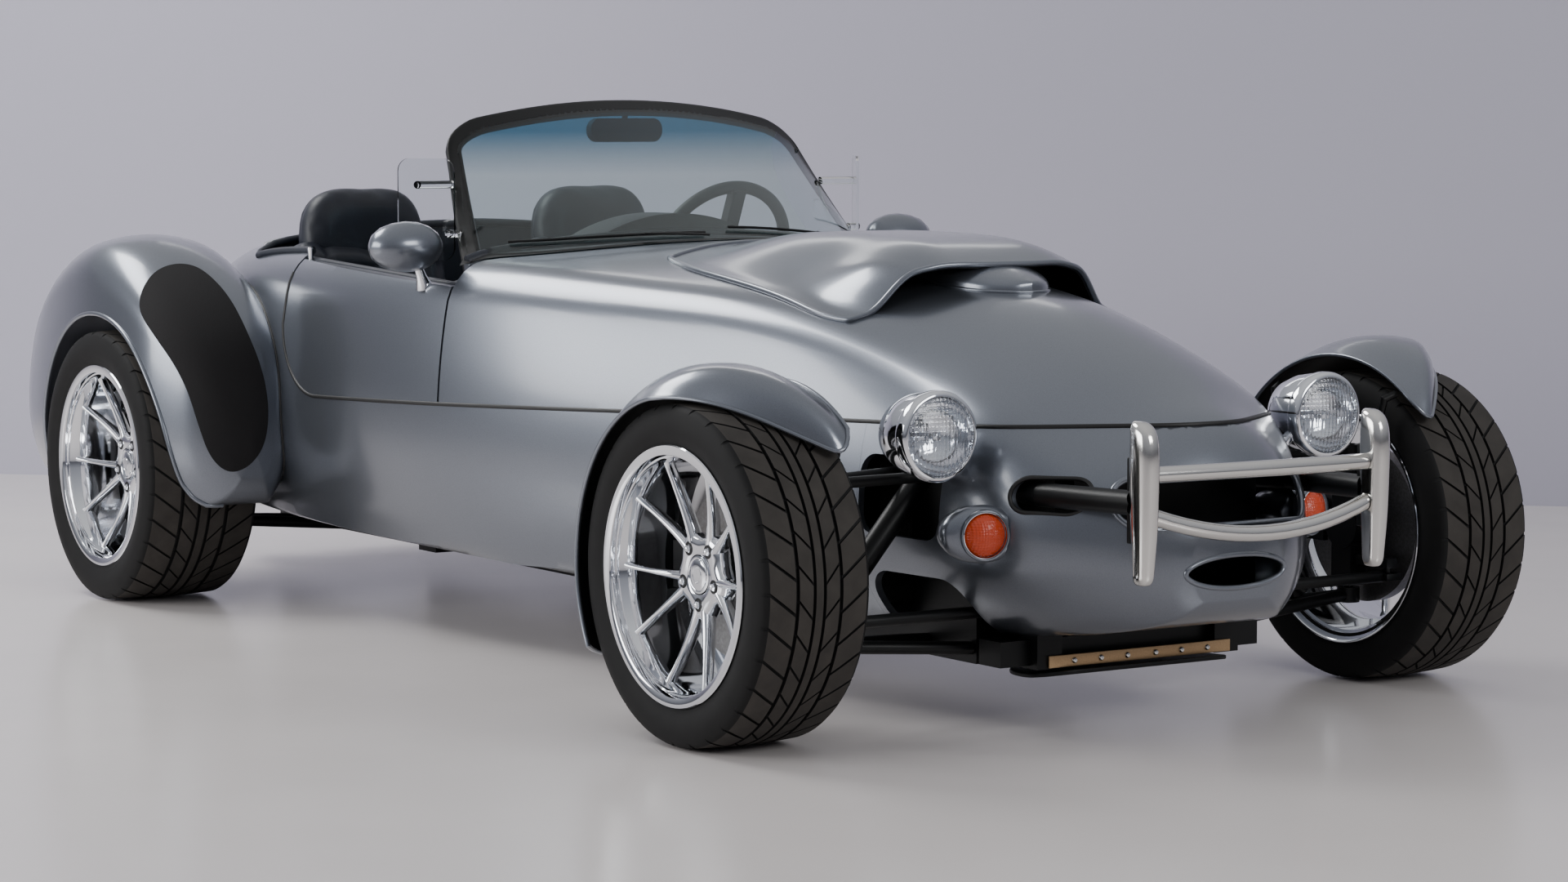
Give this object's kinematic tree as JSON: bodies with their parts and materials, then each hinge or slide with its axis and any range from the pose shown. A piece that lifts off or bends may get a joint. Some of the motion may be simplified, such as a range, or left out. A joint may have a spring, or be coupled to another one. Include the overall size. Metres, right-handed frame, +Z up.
{
  "type": "two-seat roadster",
  "caption": "Open two-seat roadster with cycle mudguards on the steered front wheels, pontoon rear wings, a wide bonnet scoop and opening doors, bonnet and boot lid.",
  "frame": {"origin": "on the road under the middle of the bounding box", "axes": "X forward, Y to the car's left, Z up"},
  "size_m": [4.035, 1.955, 1.2259],
  "materials": {
    "paint": "metallic gloss",
    "black_frame": "satin",
    "glass": "clear",
    "black_plastic": "grained",
    "leather": "smooth hide",
    "bright": "polished",
    "amber": "clear amber",
    "red_lens": "clear red",
    "cast": "machined",
    "alloy": "polished",
    "tyre": "moulded"
  },
  "bodies": {
    "chassis_body": {"body_shell": "paint", "nose_panel": "paint", "rear_wing_right": "paint", "rear_wing_left": "paint", "indicator_pods": "paint", "windscreen_frame": "black_frame", "chassis": "black_frame", "skid_plate": "black_frame", "bumper_tubes": "black_frame", "rear_carriers": "black_frame", "front_wishbones": "black_frame", "rear_wishbones": "black_frame", "front_dampers": "black_frame", "rack_housing": "black_frame", "rear_drive": "black_frame", "steering_column": "black_frame", "windscreen_glass": "glass", "side_deflectors": "glass", "headlamp_lenses": "glass", "dashboard": "black_plastic", "tunnel": "black_plastic", "inside_mirror": "black_plastic", "seats": "leather", "headlamp_shells": "bright", "bumper_horns": "bright", "bumper_bars": "bright", "exhausts": "bright", "indicator_lenses": "amber", "tail_lamps": "red_lens", "engine": "cast", "radiator": "alloy"},
    "bonnet_body": {"bonnet": "paint", "scoop": "paint", "scoop_bulge": "paint"},
    "door_right_body": {"door_right": "paint", "mirror_right": "paint"},
    "door_left_body": {"door_left": "paint", "mirror_left": "paint"},
    "boot_lid_body": {"boot_lid": "paint"},
    "steer_right_body": {"knuckle_right": "black_frame", "mudguard_right": "paint"},
    "steer_left_body": {"knuckle_left": "black_frame", "mudguard_left": "paint"},
    "rack_body": {"tie_rods": "black_frame"},
    "hand_wheel_body": {"steering_wheel": "black_plastic"},
    "wheel_front_right_body": {"wheel_front_right": "alloy", "tyre_front_right": "tyre", "disc_front_right": "cast"},
    "wheel_front_left_body": {"wheel_front_left": "alloy", "tyre_front_left": "tyre", "disc_front_left": "cast"},
    "wheel_rear_right_body": {"wheel_rear_right": "alloy", "tyre_rear_right": "tyre", "disc_rear_right": "cast"},
    "wheel_rear_left_body": {"wheel_rear_left": "alloy", "tyre_rear_left": "tyre", "disc_rear_left": "cast"}
  },
  "joints": [
    {"name": "steer_left", "type": "hinge", "parent": "chassis_body", "child": "steer_left_body", "pos_m": [1.4045, 0.736, 0.3265], "axis": [0, 0, 1], "range_deg": [-30, 30]},
    {"name": "steer_right", "type": "hinge", "parent": "chassis_body", "child": "steer_right_body", "pos_m": [1.4045, -0.736, 0.3265], "axis": [0, 0, 1], "range_deg": [-30, 30]},
    {"name": "rack", "type": "slide", "parent": "chassis_body", "child": "rack_body", "axis": [0, 1, 0], "range_m": [-0.062, 0.062]},
    {"name": "hand_wheel", "type": "hinge", "parent": "chassis_body", "child": "hand_wheel_body", "pos_m": [-0.3955, 0.3, 0.85], "axis": [-0.9135, 0, 0.4067], "range_deg": [-450, 450]},
    {"name": "door_right", "type": "hinge", "parent": "chassis_body", "child": "door_right_body", "pos_m": [-0.086, -0.638, 0.58], "axis": [0, 0, 1], "range_deg": [0, 65]},
    {"name": "door_left", "type": "hinge", "parent": "chassis_body", "child": "door_left_body", "pos_m": [-0.086, 0.638, 0.58], "axis": [0, 0, -1], "range_deg": [0, 65]},
    {"name": "bonnet", "type": "hinge", "parent": "chassis_body", "child": "bonnet_body", "pos_m": [1.8245, 0, 0.6], "axis": [0, 1, 0], "range_deg": [0, 55]},
    {"name": "boot_lid", "type": "hinge", "parent": "chassis_body", "child": "boot_lid_body", "pos_m": [-1.3195, 0, 0.901], "axis": [0, 1, 0], "range_deg": [0, 60]},
    {"name": "roll_front_right", "type": "hinge", "parent": "steer_right_body", "child": "wheel_front_right_body", "pos_m": [1.4045, -0.822, 0.3265], "axis": [0, 1, 0], "continuous": true},
    {"name": "roll_front_left", "type": "hinge", "parent": "steer_left_body", "child": "wheel_front_left_body", "pos_m": [1.4045, 0.822, 0.3265], "axis": [0, 1, 0], "continuous": true},
    {"name": "roll_rear_right", "type": "hinge", "parent": "chassis_body", "child": "wheel_rear_right_body", "pos_m": [-1.2495, -0.83, 0.332], "axis": [0, 1, 0], "continuous": true},
    {"name": "roll_rear_left", "type": "hinge", "parent": "chassis_body", "child": "wheel_rear_left_body", "pos_m": [-1.2495, 0.83, 0.332], "axis": [0, 1, 0], "continuous": true}
  ],
  "couplings": [
    {"joint": "steer_right", "follows": "steer_left", "ratio": 1},
    {"joint": "rack", "follows": "steer_left", "m_per_rad": 0.11841},
    {"joint": "hand_wheel", "follows": "steer_left", "ratio": 15}
  ]
}
